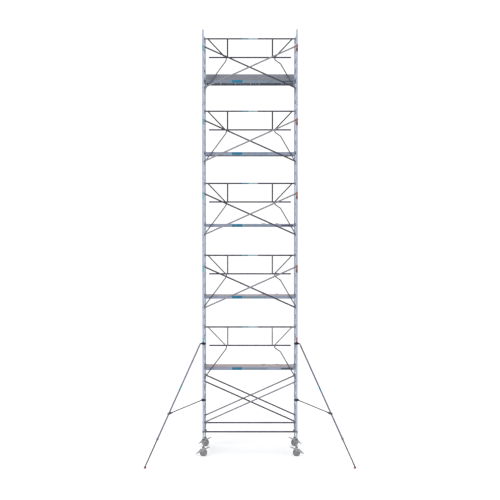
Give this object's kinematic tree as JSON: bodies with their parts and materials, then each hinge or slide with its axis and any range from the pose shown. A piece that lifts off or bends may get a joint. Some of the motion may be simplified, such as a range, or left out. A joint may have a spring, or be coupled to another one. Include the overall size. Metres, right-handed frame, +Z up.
{
  "type": "mobile tower scaffold",
  "caption": "Tall aluminium mobile tower scaffold with ladder frames, hatch decks, guardrails, diagonal braces, braked castors on screw legs and folding stabilisers.",
  "frame": {"origin": "centre of the whole footprint, castors and stabiliser feet, on the floor", "axes": "+Z up, X along the decks, -Y towards the side with the stabilisers"},
  "size_m": [5.4286, 2.8426, 11.39],
  "materials": {
    "frame_aluminium": "satin, pale lavender grey",
    "brace_aluminium": "satin, darker grey",
    "deck_aluminium": "satin, blue grey",
    "plywood": "brown film-faced plywood",
    "toe_board": "matt grey film-faced board",
    "zinc_steel": "zinc plated",
    "castor_tyre": "grey rubber",
    "clamp_black": "satin black",
    "stabiliser_aluminium": "satin",
    "foot_rubber": "dark red rubber"
  },
  "bodies": {
    "tower": {"base_frame_left": "frame_aluminium", "ladder_frame_left_1": "frame_aluminium", "ladder_frame_left_2": "frame_aluminium", "ladder_frame_left_3": "frame_aluminium", "ladder_frame_left_4": "frame_aluminium", "ladder_frame_left_5": "frame_aluminium", "base_frame_right": "frame_aluminium", "ladder_frame_right_1": "frame_aluminium", "ladder_frame_right_2": "frame_aluminium", "ladder_frame_right_3": "frame_aluminium", "ladder_frame_right_4": "frame_aluminium", "ladder_frame_right_5": "frame_aluminium", "guardrail_frame_1": "brace_aluminium", "guardrail_frame_2": "brace_aluminium", "guardrail_frame_3": "brace_aluminium", "guardrail_frame_4": "brace_aluminium", "guardrail_frame_5": "brace_aluminium", "platform_frame_1": "deck_aluminium", "platform_frame_2": "deck_aluminium", "platform_frame_3": "deck_aluminium", "platform_frame_4": "deck_aluminium", "platform_frame_5": "deck_aluminium", "platform_boards": "plywood", "front_diagonal_braces": "brace_aluminium", "rear_diagonal_braces": "brace_aluminium", "horizontal_braces": "brace_aluminium", "toe_boards": "toe_board", "frame_locking_clips": "zinc_steel", "leg_adjusting_nuts": "zinc_steel"},
    "screw_leg_front_left": {"screw_leg_front_left": "zinc_steel"},
    "castor_fork_front_left": {"castor_fork_front_left": "zinc_steel"},
    "castor_wheel_front_left": {"castor_wheel_front_left": "castor_tyre"},
    "brake_pedal_front_left": {"brake_pedal_front_left": "zinc_steel"},
    "screw_leg_front_right": {"screw_leg_front_right": "zinc_steel"},
    "castor_fork_front_right": {"castor_fork_front_right": "zinc_steel"},
    "castor_wheel_front_right": {"castor_wheel_front_right": "castor_tyre"},
    "brake_pedal_front_right": {"brake_pedal_front_right": "zinc_steel"},
    "screw_leg_rear_left": {"screw_leg_rear_left": "zinc_steel"},
    "castor_fork_rear_left": {"castor_fork_rear_left": "zinc_steel"},
    "castor_wheel_rear_left": {"castor_wheel_rear_left": "castor_tyre"},
    "brake_pedal_rear_left": {"brake_pedal_rear_left": "zinc_steel"},
    "screw_leg_rear_right": {"screw_leg_rear_right": "zinc_steel"},
    "castor_fork_rear_right": {"castor_fork_rear_right": "zinc_steel"},
    "castor_wheel_rear_right": {"castor_wheel_rear_right": "castor_tyre"},
    "brake_pedal_rear_right": {"brake_pedal_rear_right": "zinc_steel"},
    "trapdoor_1": {"trapdoor_1": "plywood"},
    "trapdoor_2": {"trapdoor_2": "plywood"},
    "trapdoor_3": {"trapdoor_3": "plywood"},
    "trapdoor_4": {"trapdoor_4": "plywood"},
    "trapdoor_5": {"trapdoor_5": "plywood"},
    "stabiliser_clamps_left": {"stabiliser_clamps_left": "clamp_black"},
    "stabiliser_tube_left": {"stabiliser_tube_left": "stabiliser_aluminium"},
    "stabiliser_strut_left": {"stabiliser_strut_left": "stabiliser_aluminium"},
    "stabiliser_extension_left": {"stabiliser_extension_left": "stabiliser_aluminium"},
    "stabiliser_foot_left": {"stabiliser_foot_left": "foot_rubber"},
    "stabiliser_clamps_right": {"stabiliser_clamps_right": "clamp_black"},
    "stabiliser_tube_right": {"stabiliser_tube_right": "stabiliser_aluminium"},
    "stabiliser_strut_right": {"stabiliser_strut_right": "stabiliser_aluminium"},
    "stabiliser_extension_right": {"stabiliser_extension_right": "stabiliser_aluminium"},
    "stabiliser_foot_right": {"stabiliser_foot_right": "foot_rubber"}
  },
  "joints": [
    {"name": "leg_height_front_left", "type": "slide", "parent": "tower", "child": "screw_leg_front_left", "axis": [0, 0, -1], "range_m": [0, 0.25]},
    {"name": "castor_swivel_front_left", "type": "hinge", "parent": "screw_leg_front_left", "child": "castor_fork_front_left", "pos_m": [-1.25, 0.04304, 0.25], "axis": [0, 0, 1], "continuous": true},
    {"name": "wheel_spin_front_left", "type": "hinge", "parent": "castor_fork_front_left", "child": "castor_wheel_front_left", "pos_m": [-1.25, 0.04304, 0.1], "axis": [0, 1, 0], "continuous": true},
    {"name": "brake_release_front_left", "type": "hinge", "parent": "castor_fork_front_left", "child": "brake_pedal_front_left", "pos_m": [-1.25, 0.04304, 0.165], "axis": [0, 1, 0], "range_deg": [0, 25]},
    {"name": "leg_height_front_right", "type": "slide", "parent": "tower", "child": "screw_leg_front_right", "axis": [0, 0, -1], "range_m": [0, 0.25]},
    {"name": "castor_swivel_front_right", "type": "hinge", "parent": "screw_leg_front_right", "child": "castor_fork_front_right", "pos_m": [1.25, 0.04304, 0.25], "axis": [0, 0, 1], "continuous": true},
    {"name": "wheel_spin_front_right", "type": "hinge", "parent": "castor_fork_front_right", "child": "castor_wheel_front_right", "pos_m": [1.25, 0.04304, 0.1], "axis": [0, 1, 0], "continuous": true},
    {"name": "brake_release_front_right", "type": "hinge", "parent": "castor_fork_front_right", "child": "brake_pedal_front_right", "pos_m": [1.25, 0.04304, 0.165], "axis": [0, -1, 0], "range_deg": [0, 25]},
    {"name": "leg_height_rear_left", "type": "slide", "parent": "tower", "child": "screw_leg_rear_left", "axis": [0, 0, -1], "range_m": [0, 0.25]},
    {"name": "castor_swivel_rear_left", "type": "hinge", "parent": "screw_leg_rear_left", "child": "castor_fork_rear_left", "pos_m": [-1.25, 1.34304, 0.25], "axis": [0, 0, 1], "continuous": true},
    {"name": "wheel_spin_rear_left", "type": "hinge", "parent": "castor_fork_rear_left", "child": "castor_wheel_rear_left", "pos_m": [-1.25, 1.34304, 0.1], "axis": [0, 1, 0], "continuous": true},
    {"name": "brake_release_rear_left", "type": "hinge", "parent": "castor_fork_rear_left", "child": "brake_pedal_rear_left", "pos_m": [-1.25, 1.34304, 0.165], "axis": [0, 1, 0], "range_deg": [0, 25]},
    {"name": "leg_height_rear_right", "type": "slide", "parent": "tower", "child": "screw_leg_rear_right", "axis": [0, 0, -1], "range_m": [0, 0.25]},
    {"name": "castor_swivel_rear_right", "type": "hinge", "parent": "screw_leg_rear_right", "child": "castor_fork_rear_right", "pos_m": [1.25, 1.34304, 0.25], "axis": [0, 0, 1], "continuous": true},
    {"name": "wheel_spin_rear_right", "type": "hinge", "parent": "castor_fork_rear_right", "child": "castor_wheel_rear_right", "pos_m": [1.25, 1.34304, 0.1], "axis": [0, 1, 0], "continuous": true},
    {"name": "brake_release_rear_right", "type": "hinge", "parent": "castor_fork_rear_right", "child": "brake_pedal_rear_right", "pos_m": [1.25, 1.34304, 0.165], "axis": [0, -1, 0], "range_deg": [0, 25]},
    {"name": "trapdoor_hinge_1", "type": "hinge", "parent": "tower", "child": "trapdoor_1", "pos_m": [0.56, 1.26504, 2.315], "axis": [-1, 0, 0], "range_deg": [0, 95]},
    {"name": "trapdoor_hinge_2", "type": "hinge", "parent": "tower", "child": "trapdoor_2", "pos_m": [0.56, 1.26504, 4.275], "axis": [-1, 0, 0], "range_deg": [0, 95]},
    {"name": "trapdoor_hinge_3", "type": "hinge", "parent": "tower", "child": "trapdoor_3", "pos_m": [0.56, 1.26504, 6.235], "axis": [-1, 0, 0], "range_deg": [0, 95]},
    {"name": "trapdoor_hinge_4", "type": "hinge", "parent": "tower", "child": "trapdoor_4", "pos_m": [0.56, 1.26504, 8.195], "axis": [-1, 0, 0], "range_deg": [0, 95]},
    {"name": "trapdoor_hinge_5", "type": "hinge", "parent": "tower", "child": "trapdoor_5", "pos_m": [0.56, 1.26504, 10.155], "axis": [-1, 0, 0], "range_deg": [0, 95]},
    {"name": "stabiliser_swing_left", "type": "hinge", "parent": "tower", "child": "stabiliser_clamps_left", "pos_m": [-1.25, 0.04304, 3.03], "axis": [0, 0, 1], "range_deg": [-45, 45]},
    {"name": "stabiliser_fold_left", "type": "hinge", "parent": "stabiliser_clamps_left", "child": "stabiliser_tube_left", "pos_m": [-1.32778, -0.03475, 3.03], "axis": [0.7071, -0.7071, 0], "range_deg": [0, 30]},
    {"name": "stabiliser_strut_fold_left", "type": "hinge", "parent": "stabiliser_clamps_left", "child": "stabiliser_strut_left", "pos_m": [-1.2995, -0.00646, 1.512], "axis": [0.7071, -0.7071, 0], "range_deg": [0, 73.24]},
    {"name": "stabiliser_telescope_left", "type": "slide", "parent": "stabiliser_tube_left", "child": "stabiliser_extension_left", "axis": [-0.3807, -0.3807, -0.8427], "range_m": [0, 0.5]},
    {"name": "stabiliser_foot_tilt_left", "type": "hinge", "parent": "stabiliser_extension_left", "child": "stabiliser_foot_left", "pos_m": [-2.67836, -1.38532, 0.04], "axis": [0.7071, -0.7071, 0], "range_deg": [-20, 20]},
    {"name": "stabiliser_swing_right", "type": "hinge", "parent": "tower", "child": "stabiliser_clamps_right", "pos_m": [1.25, 0.04304, 3.03], "axis": [0, 0, 1], "range_deg": [-45, 45]},
    {"name": "stabiliser_fold_right", "type": "hinge", "parent": "stabiliser_clamps_right", "child": "stabiliser_tube_right", "pos_m": [1.32778, -0.03475, 3.03], "axis": [0.7071, 0.7071, 0], "range_deg": [0, 30]},
    {"name": "stabiliser_strut_fold_right", "type": "hinge", "parent": "stabiliser_clamps_right", "child": "stabiliser_strut_right", "pos_m": [1.2995, -0.00646, 1.512], "axis": [0.7071, 0.7071, 0], "range_deg": [0, 73.24]},
    {"name": "stabiliser_telescope_right", "type": "slide", "parent": "stabiliser_tube_right", "child": "stabiliser_extension_right", "axis": [0.3807, -0.3807, -0.8427], "range_m": [0, 0.5]},
    {"name": "stabiliser_foot_tilt_right", "type": "hinge", "parent": "stabiliser_extension_right", "child": "stabiliser_foot_right", "pos_m": [2.67836, -1.38532, 0.04], "axis": [0.7071, 0.7071, 0], "range_deg": [-20, 20]}
  ],
  "couplings": [
    {"joint": "stabiliser_strut_fold_left", "follows": "stabiliser_fold_left", "ratio": 2.4347},
    {"joint": "stabiliser_strut_fold_right", "follows": "stabiliser_fold_right", "ratio": 2.4347}
  ]
}
